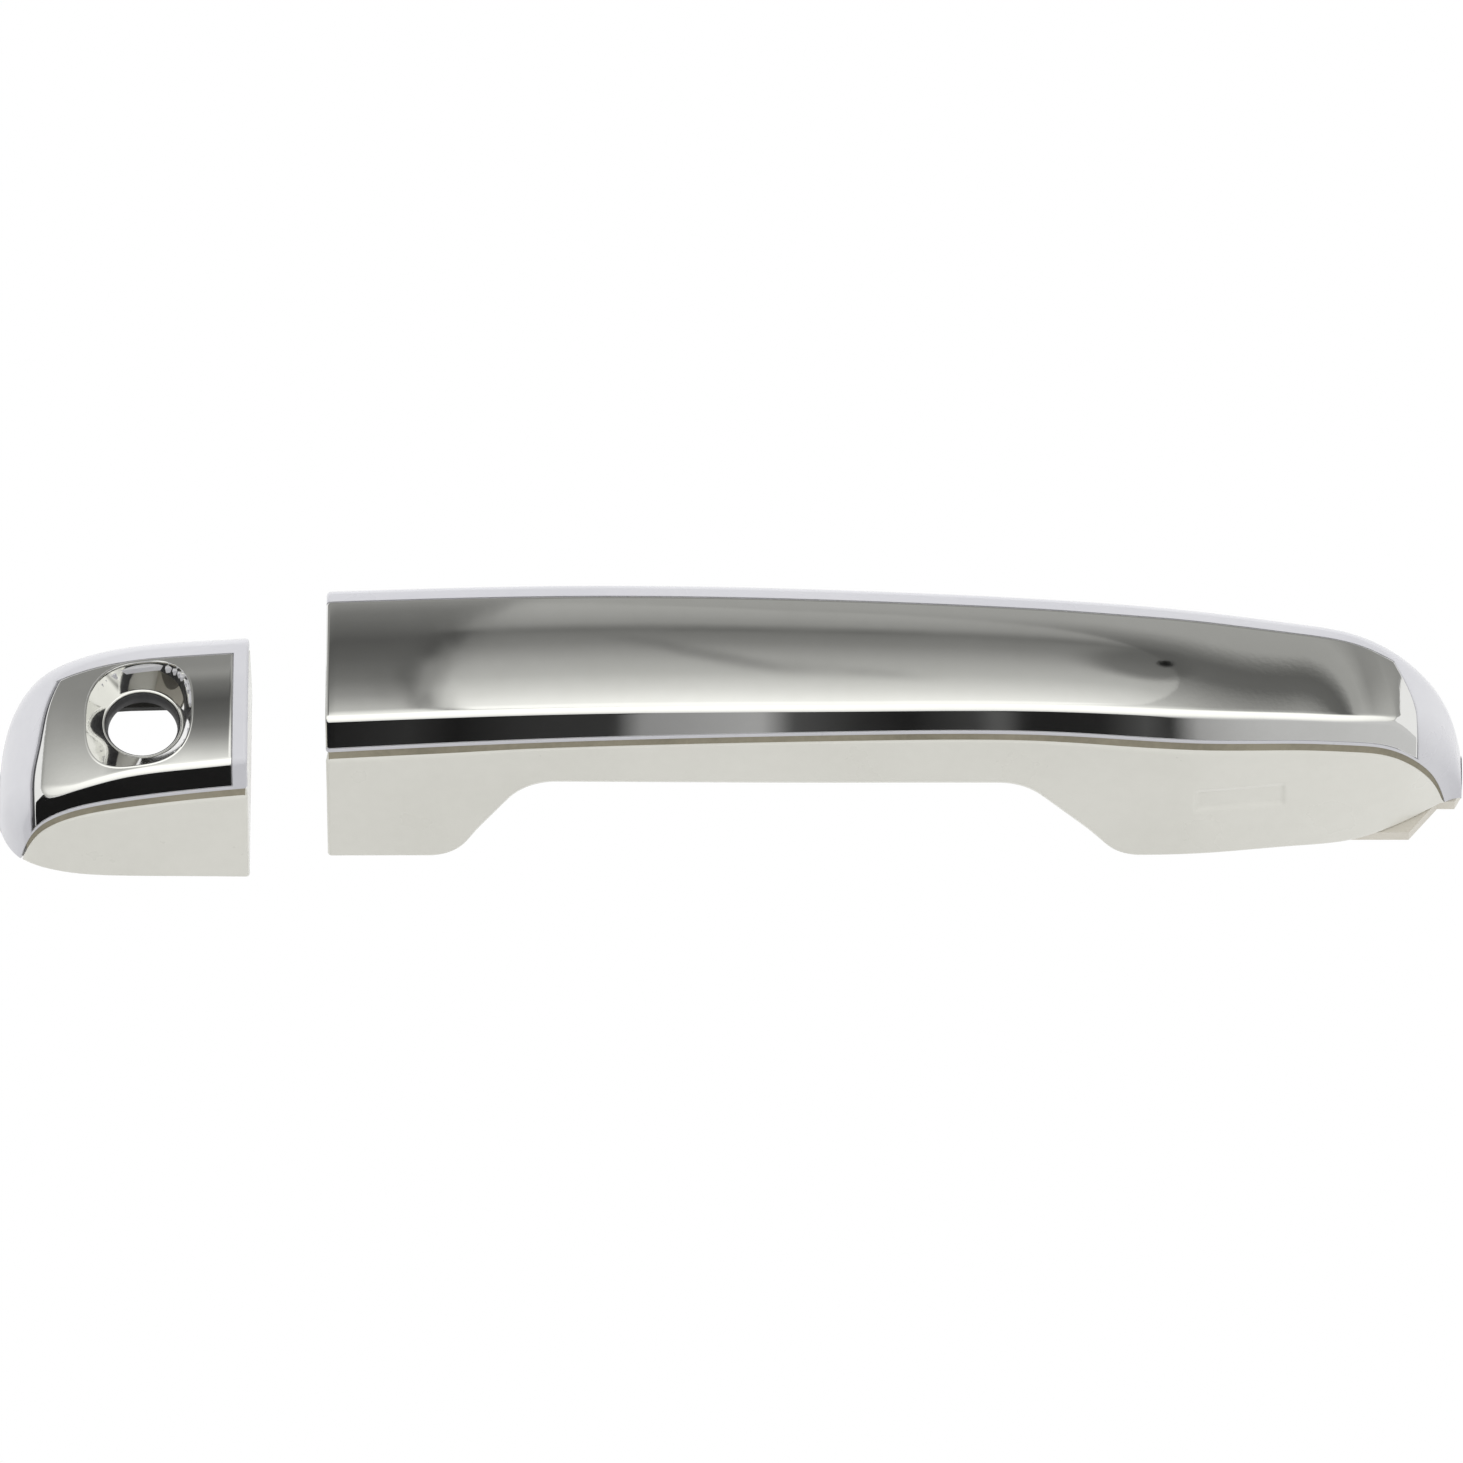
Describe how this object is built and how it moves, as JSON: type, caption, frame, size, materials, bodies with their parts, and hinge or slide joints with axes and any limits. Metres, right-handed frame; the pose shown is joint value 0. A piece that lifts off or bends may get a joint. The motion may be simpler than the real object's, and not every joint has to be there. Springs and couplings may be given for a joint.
{
  "type": "car door handle",
  "caption": "Pull-type car door handle with chrome face insert, finger arch, separate key cap, hinged mounting frame and bell crank.",
  "frame": {"origin": "on the door skin plane, midway between the outer ends of the handle and the key cap as they lie", "axes": "+X along the handle away from the key cap, +Z out of the door, +Y across the handle"},
  "size_m": [0.2714, 0.0476, 0.0708],
  "materials": {
    "body_paint": "gloss",
    "shell_paint": "gloss",
    "chrome": "polished",
    "ivory_plastic": "satin",
    "black_plastic": "satin",
    "seal_rubber": "matte",
    "pad_rubber": "matte",
    "plated_steel": "zinc plated",
    "spring_steel": "satin",
    "bush_plastic": "satin",
    "insert_brass": "turned",
    "board_green": "satin"
  },
  "bodies": {
    "mounting": {"mounting_frame": "black_plastic", "pivot_pin": "plated_steel", "pivot_pin_clips": "spring_steel", "crank_pin": "plated_steel", "crank_pin_clips": "spring_steel", "threaded_inserts": "insert_brass", "arm_guide": "bush_plastic", "rear_gasket": "pad_rubber", "front_gasket": "pad_rubber"},
    "handle": {"handle_outer_shell": "body_paint", "handle_chrome_insert": "chrome", "handle_inner_shell": "shell_paint", "handle_seam_gasket": "seal_rubber", "handle_core": "black_plastic", "sensor_board": "board_green", "front_pivot_arm": "ivory_plastic", "rear_pull_arm": "plated_steel", "hook_buffer": "pad_rubber", "handle_screws": "plated_steel"},
    "crank": {"bell_crank": "ivory_plastic", "crank_bush": "bush_plastic", "crank_weight": "plated_steel", "return_spring": "spring_steel"},
    "cap": {"cap_outer_shell": "body_paint", "cap_chrome_plate": "chrome", "cap_inner_shell": "shell_paint", "cap_seam_gasket": "seal_rubber", "keyhole_liner": "black_plastic", "cap_carrier": "ivory_plastic", "cap_screw": "plated_steel", "cap_base_gasket": "pad_rubber"}
  },
  "joints": [
    {"name": "handle_pull", "type": "hinge", "parent": "mounting", "child": "handle", "pos_m": [0.118, 0.0065, -0.011], "axis": [0, 1, 0], "range_deg": [0, 7], "stiffness_Nm_per_rad": 1.2, "springref_deg": -20.05},
    {"name": "crank_turn", "type": "hinge", "parent": "mounting", "child": "crank", "pos_m": [-0.046, 0.01, -0.014], "axis": [0, 1, 0], "range_deg": [0, 69.4]},
    {"name": "cap_home", "type": "slide", "parent": "mounting", "child": "cap", "axis": [0.9507, 0.31, 0], "range_m": [0, 0.0145]}
  ],
  "couplings": [
    {"joint": "crank_turn", "follows": "handle_pull", "ratio": 9.914}
  ]
}
